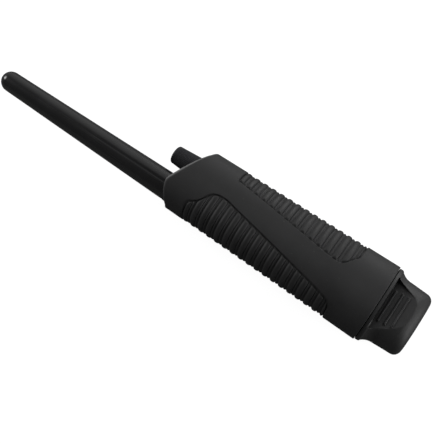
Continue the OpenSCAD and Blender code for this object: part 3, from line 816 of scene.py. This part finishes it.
def group_node(tree, group, **inputs):
    """Add a node group and set its inputs."""
    made = tree.nodes.new("ShaderNodeGroup")
    made.node_tree = group
    for key, value in inputs.items():
        made.inputs[key.replace("_", " ")].default_value = value
    return made


def new_material(name):
    """A material with only its output and Principled shader."""
    if name in bpy.data.materials:
        bpy.data.materials.remove(bpy.data.materials[name])
    made = bpy.data.materials.new(name)
    made.use_nodes = True
    return made, made.node_tree, made.node_tree.nodes["Principled BSDF"]


def mixed(tree, factor, a, b):
    """Colour between a and b by a factor."""
    made = add_node(tree, "ShaderNodeMix", {"data_type": "RGBA"})
    for socket, value in ((made.inputs[0], factor), (made.inputs[6], a), (made.inputs[7], b)):
        if isinstance(value, bpy.types.NodeSocket):
            tree.links.new(value, socket)
        else:
            socket.default_value = value
    return made.outputs[2]


def shade(colour, factor):
    """A colour made lighter or darker."""
    return tuple(c * factor for c in colour[:3]) + (1.0,)


def bump(tree, height, strength, distance):
    """The normal of a bump node."""
    made = add_node(tree, "ShaderNodeBump", Height=height, Strength=strength, Distance=distance)
    return made.outputs[0]


def spread(tree, value, low, high, start=0.0, stop=1.0):
    """Map a value between start and stop to the range low to high."""
    made = add_node(tree, "ShaderNodeMapRange", Value=value, From_Min=start, From_Max=stop,
                    To_Min=low, To_Max=high)
    return made.outputs[0]


def rubber(name, roughness, lightness=1.0):
    """Matte moulded rubber, polished on the crests of the ribs, with a pale highlight painted along
    the hood.
    """
    colour = bpy.context.scene.wand_finish.rubber
    made, tree, shader = new_material(name)
    grain = group_node(tree, grain_group(), Grains_per_metre=2600.0, Patches_per_metre=45.0)
    marks = group_node(tree, handling_group(), Scuffs_per_metre=600.0, Stretch=0.2)
    crest = add_node(tree, "ShaderNodeAttribute", {"attribute_name": "crest"}).outputs["Fac"]
    lip = add_node(tree, "ShaderNodeAttribute", {"attribute_name": "lip"}).outputs["Fac"]
    patches = grain.outputs["Patches"]
    base = mixed(tree, spread(tree, patches, 0, 1, 0.35, 0.65), shade(colour, 0.86 * lightness),
                 shade(colour, 1.14 * lightness))
    # Painted highlight: along the hood's lip the colour is mixed towards pale grey.
    lip_highlight = maths(tree, "MULTIPLY", lip, spread(tree, patches, 0.40, 0.80, 0.3, 0.7))
    highlighted = mixed(tree, lip_highlight, base, (0.30, 0.30, 0.30, 1.0))
    dusty = mixed(tree, maths(tree, "MULTIPLY", marks.outputs["Dust"], 0.10), highlighted,
                  (0.16, 0.155, 0.15, 1.0))
    tree.links.new(dusty, shader.inputs["Base Color"])
    rough = spread(tree, patches, roughness - 0.05, roughness + 0.06, 0.3, 0.7)
    rough = maths(tree, "SUBTRACT", rough, maths(tree, "MULTIPLY", crest, 0.07))
    rough = maths(tree, "SUBTRACT", rough, maths(tree, "MULTIPLY", lip, 0.18))
    tree.links.new(rough, shader.inputs["Roughness"])
    tree.links.new(bump(tree, grain.outputs["Height"], 0.35, 0.00005), shader.inputs["Normal"])
    return made


def gloss():
    """Polished black plastic with a trace of orange peel and fine scuffs along its length."""
    colour = bpy.context.scene.wand_finish.probe
    made, tree, shader = new_material("probe_plastic")
    grain = group_node(tree, grain_group(), Grains_per_metre=420.0, Patches_per_metre=28.0)
    marks = group_node(tree, handling_group(), Scuffs_per_metre=1500.0, Stretch=0.03)
    base = mixed(tree, spread(tree, grain.outputs["Patches"], 0, 1, 0.35, 0.65),
                 shade(colour, 0.9), shade(colour, 1.2))
    dusty = mixed(tree, maths(tree, "MULTIPLY", marks.outputs["Dust"], 0.06), base,
                  (0.2, 0.2, 0.2, 1.0))
    tree.links.new(dusty, shader.inputs["Base Color"])
    rough = spread(tree, grain.outputs["Patches"], 0.20, 0.27, 0.3, 0.7)
    rough = maths(tree, "ADD", rough, maths(tree, "MULTIPLY", marks.outputs["Scuffs"], 0.10))
    tree.links.new(rough, shader.inputs["Roughness"])
    tree.links.new(bump(tree, grain.outputs["Height"], 0.05, 0.0001), shader.inputs["Normal"])
    return made


def knob_finish():
    """Blue-black plastic with a coarse spark-eroded texture."""
    colour = bpy.context.scene.wand_finish.knob
    made, tree, shader = new_material("knob_plastic")
    grain = group_node(tree, grain_group(), Grains_per_metre=1300.0, Patches_per_metre=1100.0)
    base = mixed(tree, spread(tree, grain.outputs["Patches"], 0, 1, 0.42, 0.60),
                 shade(colour, 0.5), shade(colour, 2.2))
    tree.links.new(base, shader.inputs["Base Color"])
    tree.links.new(spread(tree, grain.outputs["Patches"], 0.52, 0.70), shader.inputs["Roughness"])
    tree.links.new(bump(tree, grain.outputs["Height"], 0.8, 0.0001), shader.inputs["Normal"])
    return made


def moulded(name, colour, roughness=0.45, grains=1800.0, depth=0.3, contrast=0.12):
    """Moulded, pressed or sintered stuff: even colour, slow patches and grain of one size."""
    made, tree, shader = new_material(name)
    grain = group_node(tree, grain_group(), Grains_per_metre=grains, Patches_per_metre=90.0)
    marks = group_node(tree, handling_group(), Scuffs_per_metre=1200.0, Stretch=0.3)
    base = mixed(tree, spread(tree, grain.outputs["Patches"], 0, 1, 0.35, 0.65),
                 shade(colour, 1 - contrast), shade(colour, 1 + contrast))
    tree.links.new(base, shader.inputs["Base Color"])
    rough = spread(tree, grain.outputs["Patches"], roughness - 0.05, roughness + 0.05, 0.3, 0.7)
    rough = maths(tree, "ADD", rough, maths(tree, "MULTIPLY", marks.outputs["Scuffs"], 0.08), True)
    tree.links.new(rough, shader.inputs["Roughness"])
    tree.links.new(bump(tree, grain.outputs["Height"], depth, 0.00008), shader.inputs["Normal"])
    return made


def metal(name, colour, roughness=0.28, stretch=1.0, tarnish=0.2):
    """Plated or turned metal with fine tool marks and dull patches."""
    made, tree, shader = new_material(name)
    grain = group_node(tree, grain_group(), Grains_per_metre=2200.0, Patches_per_metre=160.0)
    marks = group_node(tree, handling_group(), Scuffs_per_metre=2600.0, Stretch=stretch)
    base = mixed(tree, maths(tree, "MULTIPLY", grain.outputs["Patches"], tarnish), shade(colour, 1),
                 shade(colour, 0.45))
    tree.links.new(base, shader.inputs["Base Color"])
    rough = spread(tree, grain.outputs["Patches"], roughness - 0.06, roughness + 0.10, 0.3, 0.7)
    rough = maths(tree, "ADD", rough, maths(tree, "MULTIPLY", marks.outputs["Scuffs"], 0.12))
    tree.links.new(rough, shader.inputs["Roughness"])
    tree.links.new(bump(tree, marks.outputs["Scuffs"], 0.12, 0.00004), shader.inputs["Normal"])
    shader.inputs["Metallic"].default_value = 1.0
    return made


def foam_finish():
    """Open-cell foam in a soft grey, with shade painted into its pores."""
    made, tree, shader = new_material("foam")
    spot = tree.nodes.new("ShaderNodeTexCoord").outputs["Object"]
    cells = add_node(tree, "ShaderNodeTexVoronoi", {"feature": "F1"}, Vector=spot, Scale=1500.0)
    # Painted shade: the colour darkens away from the middles of the cells, as shade in the pores.
    tone = spread(tree, cells.outputs["Distance"], 1, 0, 0.1, 0.7)
    base = mixed(tree, tone, (0.025, 0.025, 0.028, 1.0), (0.10, 0.10, 0.105, 1.0))
    tree.links.new(base, shader.inputs["Base Color"])
    tree.links.new(spread(tree, tone, 0.97, 0.86), shader.inputs["Roughness"])
    tree.links.new(bump(tree, tone, 0.9, 0.0002), shader.inputs["Normal"])
    return made


def board_finish():
    """Green solder mask over copper tracks, with bare laminate at the edges."""
    made, tree, shader = new_material("board")
    spot = tree.nodes.new("ShaderNodeTexCoord").outputs["Object"]
    tracks = add_node(tree, "ShaderNodeTexBrick", {"offset": 0.37, "squash": 0.8}, Vector=spot,
                      Scale=95.0, Mortar_Size=0.03, Mortar_Smooth=0.2, Brick_Width=0.9,
                      Row_Height=0.22)
    grain = group_node(tree, grain_group(), Grains_per_metre=900.0, Patches_per_metre=120.0)
    track = spread(tree, tracks.outputs["Fac"], 1, 0)
    base = mixed(tree, track, (0.012, 0.075, 0.030, 1.0), (0.022, 0.125, 0.050, 1.0))
    patchy = mixed(tree, maths(tree, "MULTIPLY", grain.outputs["Patches"], 0.25), base,
                   (0.008, 0.050, 0.022, 1.0))
    tree.links.new(patchy, shader.inputs["Base Color"])
    tree.links.new(spread(tree, grain.outputs["Patches"], 0.25, 0.38), shader.inputs["Roughness"])
    tree.links.new(bump(tree, track, 0.5, 0.00004), shader.inputs["Normal"])
    return made


def along_axis(tree, axis, low, high):
    """0 to 1 along one axis of the object, between two places."""
    spot = tree.nodes.new("ShaderNodeTexCoord").outputs["Object"]
    parts = add_node(tree, "ShaderNodeSeparateXYZ", i0=spot)
    return add_node(tree, "ShaderNodeMapRange", Value=parts.outputs[axis], From_Min=low,
                    From_Max=high).outputs[0]


def banded(name, axis, low, high, bands, roughness=0.4, metallic=()):
    """A finish in bands along one axis; each band is (start, colour), metallic ones listed."""
    made, tree, shader = new_material(name)
    run = along_axis(tree, axis, low, high)
    grain = group_node(tree, grain_group(), Grains_per_metre=1500.0, Patches_per_metre=110.0)
    colours = []
    for wanted in ("colour", "metal"):
        ramp = add_node(tree, "ShaderNodeValToRGB", i0=run)
        ramp.color_ramp.interpolation = "CONSTANT"
        while len(ramp.color_ramp.elements) < len(bands):
            ramp.color_ramp.elements.new(0.5)
        for number, (start, colour) in enumerate(bands):
            element = ramp.color_ramp.elements[number]
            element.position = start
            shiny = 1.0 if number in metallic else 0.0
            element.color = tuple(colour) + (1.0,) if wanted == "colour" else (shiny,) * 3 + (1.0,)
        colours.append(ramp.outputs[0])
    dark = mixed(tree, maths(tree, "MULTIPLY", grain.outputs["Patches"], 0.3), colours[0],
                 (0.01, 0.01, 0.01, 1.0))
    tree.links.new(dark, shader.inputs["Base Color"])
    tree.links.new(colours[1], shader.inputs["Metallic"])
    rough = spread(tree, grain.outputs["Patches"], roughness - 0.06, roughness + 0.08, 0.3, 0.7)
    tree.links.new(rough, shader.inputs["Roughness"])
    tree.links.new(bump(tree, grain.outputs["Height"], 0.15, 0.00005), shader.inputs["Normal"])
    return made


FINISHES = {}                       # materials already made, by slot


def slot_finish(slot):
    """The finish of one of the record's material slots, made once."""
    if slot in FINISHES:
        return FINISHES[slot]
    shell = bpy.context.scene.wand_finish.shell
    battery_low, battery_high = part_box("battery")
    caps_low, caps_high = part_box("capacitors")
    row_low, row_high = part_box("resistors")
    makers = {
        "sleeve_rubber": lambda: rubber(slot, 0.64),
        "cap_rubber": lambda: rubber(slot, 0.54, 1.1),
        "probe_plastic": gloss,
        "knob_plastic": knob_finish,
        "housing_plastic": lambda: moulded(slot, shell, 0.45, 1900.0),
        "seal_rubber": lambda: moulded(slot, (0.012, 0.012, 0.012), 0.5, 2500.0),
        "gasket_silicone": lambda: moulded(slot, (0.24, 0.04, 0.03), 0.38, 1500.0, 0.15),
        "foam": foam_finish,
        "steel": lambda: metal(slot, (0.55, 0.56, 0.57), 0.36, 0.4),
        "spring_steel": lambda: metal(slot, (0.62, 0.63, 0.65), 0.22, 0.1),
        "nickel": lambda: metal(slot, (0.60, 0.60, 0.58), 0.26, 1.0),
        "brass": lambda: metal(slot, (0.72, 0.53, 0.24), 0.30, 8.0, 0.35),
        "ferrite": lambda: moulded(slot, (0.045, 0.045, 0.048), 0.72, 1200.0, 0.6, 0.25),
        "former_card": lambda: moulded(slot, (0.62, 0.58, 0.46), 0.85, 2400.0, 0.5, 0.10),
        "copper": lambda: metal(slot, (0.55, 0.22, 0.08), 0.32, 12.0, 0.4),
        "lead_wire": lambda: moulded(slot, (0.45, 0.03, 0.03), 0.33, 700.0, 0.1),
        "board": board_finish,
        "chip_plastic": lambda: moulded(slot, (0.015, 0.015, 0.016), 0.55, 3000.0, 0.5),
        "capacitor_sleeve": lambda: banded(
            slot, 2, caps_low.z, caps_high.z,
            [(0.0, (0.02, 0.03, 0.10)), (0.955, (0.60, 0.61, 0.62))], 0.3, (1,)),
        "resistor_body": lambda: banded(
            slot, 1, row_low.y, row_high.y,
            [(0.0, (0.50, 0.36, 0.20)), (0.18, (0.16, 0.05, 0.02)), (0.28, (0.50, 0.36, 0.20)),
             (0.38, (0.01, 0.01, 0.01)), (0.48, (0.50, 0.36, 0.20)), (0.58, (0.50, 0.10, 0.02)),
             (0.68, (0.50, 0.36, 0.20)), (0.82, (0.60, 0.42, 0.12)), (0.92, (0.50, 0.36, 0.20))],
            0.45),
        "trimmer_plastic": lambda: moulded(slot, (0.03, 0.09, 0.30), 0.4, 1500.0),
        "header_nylon": lambda: moulded(slot, (0.72, 0.69, 0.58), 0.5, 1300.0, 0.2, 0.06),
        "paper_cone": lambda: moulded(slot, (0.02, 0.02, 0.02), 0.9, 2600.0, 0.8, 0.3),
        "magnet": lambda: moulded(slot, (0.10, 0.10, 0.11), 0.6, 1100.0, 0.5, 0.2),
        "battery_label": lambda: banded(
            slot, 0, battery_low.x, battery_high.x,
            [(0.0, (0.55, 0.56, 0.57)), (0.03, (0.10, 0.13, 0.17)), (0.30, (0.30, 0.33, 0.36)),
             (0.34, (0.035, 0.042, 0.055)), (0.97, (0.55, 0.56, 0.57))], 0.28, (0, 4)),
    }
    FINISHES[slot] = makers[slot]()
    return FINISHES[slot]


# ------------------------------------------------------------------ inner pieces
# Edges at least this sharp are eased
EASED_EDGE = math.radians(38)
# Width of the small rounding that each moulded or pressed inner piece has along its edges
EASED = {
    "housing_upper": 0.25, "housing_lower": 0.25, "nose_plate": 0.3, "battery_tray": 0.3,
    "battery_snap": 0.15, "battery": 0.35, "battery_terminals": 0.3, "cap_foam": 0.6,
    "cap_gasket": 0.35, "pot_shaft": 0.25, "pot_body": 0.3, "pot_washer": 0.1, "pot_nut": 0.25,
    "probe_nut": 0.3, "speaker_frame": 0.2, "speaker_magnet": 0.5, "main_board": 0.1,
    "signal_chip": 0.12, "amplifier_chip": 0.12, "regulator": 0.12, "capacitors": 0.5,
    "resistors": 0.35, "crystal": 0.5, "trim_pots": 0.2, "coil_header": 0.3,
    "board_screws": 0.2, "housing_screws": 0.2, "coil_spacers": 0.3, "ferrite_rod": 0.4,
}
# Width of the rim and depth of the sunk ends of pieces made as a crimped can
SUNK_ENDS = {"battery": (1.1, 0.7)}


def sink_ends(piece, rim, depth):
    """Sink the two ends of a piece inside a rim."""
    only(piece)
    bpy.ops.object.mode_set(mode="EDIT")
    bpy.ops.mesh.select_mode(type="FACE")
    bpy.ops.mesh.select_all(action="DESELECT")
    bpy.ops.object.mode_set(mode="OBJECT")
    for face in piece.data.polygons:
        face.select = abs(face.normal.x) > 0.9
    bpy.ops.object.mode_set(mode="EDIT")
    bpy.ops.mesh.inset(thickness=rim, depth=-depth)
    bpy.ops.mesh.select_mode(type="VERT")
    bpy.ops.object.mode_set(mode="OBJECT")


class WAND_OT_eased(bpy.types.Operator):
    """Round the edges of the pieces inside the grip"""
    bl_idname = "wand.eased"
    bl_label = "Inner pieces"

    def execute(self, context):
        for node, width in EASED.items():
            deselect()
            source = frame["nodes"][node]
            piece = source.copy()
            piece.data = source.data.copy()
            piece.name = "eased_" + node
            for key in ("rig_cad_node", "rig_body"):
                if key in piece:
                    del piece[key]
            piece.parent = None
            context.scene.collection.objects.link(piece)
            only(piece)
            bpy.ops.object.mode_set(mode="EDIT")
            bpy.ops.mesh.select_all(action="SELECT")
            bpy.ops.mesh.remove_doubles(threshold=0.002 * MM)
            bpy.ops.mesh.dissolve_limited(angle_limit=math.radians(1))
            bpy.ops.object.mode_set(mode="OBJECT")
            if node in SUNK_ENDS:
                rim, depth = SUNK_ENDS[node]
                sink_ends(piece, rim * MM, depth * MM)
            apply_modifier(piece, "BEVEL", width=width * MM, segments=2, limit_method="ANGLE",
                           angle_limit=EASED_EDGE, use_clamp_overlap=True)
            bpy.ops.object.shade_smooth_by_angle(angle=math.radians(30))
            finish_piece(piece, node)
        return {"FINISHED"}


class WAND_OT_finishes(bpy.types.Operator):
    """Give every piece of the frame that stays the finish of its slot"""
    bl_idname = "wand.finishes"
    bl_label = "Finishes"

    def execute(self, context):
        for node, piece in frame["nodes"].items():
            piece.data.materials.clear()
            piece.data.materials.append(slot_finish(SLOT_OF[node]))
        return {"FINISHED"}


# ------------------------------------------------------------------ stage
VIEW_AZIMUTH = math.radians(35.78)
VIEW_ELEVATION = math.radians(68)
VIEW_DISTANCE = 0.495
VIEW_TARGET = Vector((0.0262, -0.0152, MID_Z))
# Soft boxes: name, width and height, power, place and target
LAMPS = [("key", (0.8, 0.5), 3.6, (0.1, 1.05, 0.45), (0.05, 0, 0)),
         ("front", (0.35, 0.35), 4.5, (-1.05, -0.15, 0.50), (-0.10, 0, 0)),
         ("rear", (0.5, 0.5), 5.4, (1.20, 0.15, 0.45), (0.15, 0, 0))]


def lamp(name, size, power, location, target):
    """A soft box of this width and height that faces the target."""
    deselect()
    bpy.ops.object.light_add(type="AREA", location=location)
    made = bpy.context.object
    made.name = name
    made.data.shape = "RECTANGLE"
    made.data.size, made.data.size_y = size
    made.data.energy = power
    made.rotation_euler = (Vector(target) - Vector(location)).to_track_quat("-Z", "Y").to_euler()


class WAND_OT_stage(bpy.types.Operator):
    """Set the pale floor, the soft light and the camera"""
    bl_idname = "wand.stage"
    bl_label = "Stage"

    def execute(self, context):
        size = context.scene.wand_stage
        deselect()
        bpy.ops.mesh.primitive_plane_add(size=12, location=(0, 0, REST_Z - 0.05 * MM))
        floor = named("floor")
        made, tree, shader = new_material("floor_paint")
        shader.inputs["Base Color"].default_value = size.floor
        shader.inputs["Roughness"].default_value = 0.9
        # The floor glows a little for the camera alone, as a back-lit table does.
        seen = tree.nodes.new("ShaderNodeLightPath").outputs["Is Camera Ray"]
        shader.inputs["Emission Color"].default_value = (1.0, 1.0, 1.0, 1.0)
        tree.links.new(maths(tree, "MULTIPLY", seen, size.glow), shader.inputs["Emission Strength"])
        floor.data.materials.append(made)
        world = context.scene.world or bpy.data.worlds.new("World")
        context.scene.world = world
        world.use_nodes = True
        # The room is light on the knob's side and dim on the other.
        sky = world.node_tree
        aim = sky.nodes.new("ShaderNodeTexCoord").outputs["Generated"]
        side = add_node(sky, "ShaderNodeSeparateXYZ", i0=aim).outputs[1]
        level = add_node(sky, "ShaderNodeMapRange", {"interpolation_type": "SMOOTHSTEP"},
                         Value=side, From_Min=0.0, From_Max=0.75, To_Min=size.dim,
                         To_Max=size.sky)
        background = sky.nodes["Background"]
        background.inputs["Color"].default_value = (1.0, 1.0, 1.0, 1.0)
        sky.links.new(level.outputs[0], background.inputs["Strength"])
        for row in LAMPS:
            lamp(*row)
        deselect()
        bpy.ops.object.camera_add()
        camera = context.object
        camera.name = "camera"
        back = Vector((math.sin(VIEW_AZIMUTH) * math.cos(VIEW_ELEVATION),
                       -math.cos(VIEW_AZIMUTH) * math.cos(VIEW_ELEVATION),
                       math.sin(VIEW_ELEVATION)))
        camera.location = VIEW_TARGET + back * VIEW_DISTANCE
        camera.rotation_euler = (-back).to_track_quat("-Z", "Y").to_euler()
        camera.data.sensor_width = 36
        camera.data.lens = size.focal
        camera.data.clip_start = 0.01
        context.scene.camera = camera
        context.scene.view_settings.view_transform = "Standard"
        return {"FINISHED"}


class WAND_PT_panel(bpy.types.Panel):
    """Lists the operators that build the wand"""
    bl_idname = "WAND_PT_panel"
    bl_label = "Scanner wand"
    bl_space_type = "VIEW_3D"
    bl_region_type = "UI"
    bl_category = "Wand"

    def draw(self, context):
        for operator in OPERATORS:
            self.layout.operator(operator.bl_idname)
        for group in SETTINGS:
            settings = getattr(context.scene, group)
            for name in settings.__annotations__:
                self.layout.prop(settings, name)


SETTINGS = {
    "wand_sleeve": SleeveSettings,
    "wand_probe": ProbeSettings,
    "wand_knob": KnobSettings,
    "wand_cap": CapSettings,
    "wand_finish": FinishSettings,
    "wand_stage": StageSettings,
}
OPERATORS = (WAND_OT_stage, WAND_OT_finishes, WAND_OT_sleeve, WAND_OT_probe, WAND_OT_collar,
             WAND_OT_coils, WAND_OT_knob, WAND_OT_cap, WAND_OT_eased)


def register():
    for group in SETTINGS.values():
        bpy.utils.register_class(group)
    for operator in OPERATORS:
        bpy.utils.register_class(operator)
    bpy.utils.register_class(WAND_PT_panel)
    for name, group in SETTINGS.items():
        setattr(bpy.types.Scene, name, bpy.props.PointerProperty(type=group))


def unregister():
    for name in SETTINGS:
        delattr(bpy.types.Scene, name)
    bpy.utils.unregister_class(WAND_PT_panel)
    for operator in reversed(OPERATORS):
        bpy.utils.unregister_class(operator)
    for group in reversed(list(SETTINGS.values())):
        bpy.utils.unregister_class(group)


def main():
    register()
    for operator in OPERATORS:
        kind, action = operator.bl_idname.split(".")
        getattr(getattr(bpy.ops, kind), action)()


if __name__ == "__main__":
    main()
